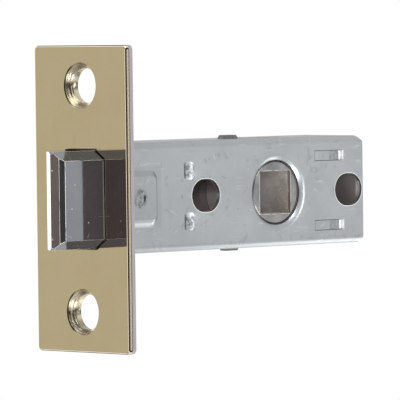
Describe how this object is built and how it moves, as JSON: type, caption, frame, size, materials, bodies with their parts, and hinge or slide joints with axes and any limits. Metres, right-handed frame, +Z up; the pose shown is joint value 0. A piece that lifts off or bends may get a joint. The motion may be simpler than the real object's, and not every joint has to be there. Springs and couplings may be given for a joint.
{
  "type": "tubular door latch",
  "caption": "Mortice tubular door latch: folded steel case, brass forend, sprung bevelled bolt drawn back by a follower with a square spindle hole.",
  "frame": {"origin": "centre of the front face of the outer forend, the face from which the backset is measured", "axes": "+Y runs into the door along the case, -Y is the way the bolt points, +Z is up, +X is the side of the case that carries the folded web"},
  "size_m": [0.025, 0.0781, 0.057],
  "materials": {
    "brass_plate": "polished",
    "zinc_steel": "bright zinc plated",
    "bolt_nickel": "polished nickel plate",
    "spring_wire": "drawn spring steel",
    "follower_cast": "cast and plated"
  },
  "bodies": {
    "case": {"outer_forend": "brass_plate", "inner_forend": "zinc_steel", "case_channel": "zinc_steel", "case_cover": "zinc_steel", "spring_stop": "zinc_steel", "bolt_spring": "spring_wire"},
    "bolt": {"latch_bolt": "bolt_nickel", "bolt_tail": "zinc_steel", "tail_pin_upper": "zinc_steel", "tail_pin_lower": "zinc_steel"},
    "follower": {"follower": "follower_cast"}
  },
  "joints": [
    {"name": "bolt_slide", "type": "slide", "parent": "case", "child": "bolt", "axis": [0, 1, 0], "range_m": [0, 0.01112], "stiffness_N_per_m": 500, "springref_m": -0.01, "deforming": ["bolt_spring"]},
    {"name": "follower_turn", "type": "hinge", "parent": "case", "child": "follower", "pos_m": [0, 0.044, 0], "axis": [1, 0, 0], "range_deg": [0, 80]}
  ],
  "couplings": [
    {"joint": "follower_turn", "follows": "bolt_slide", "rad_per_m": 125.51}
  ]
}
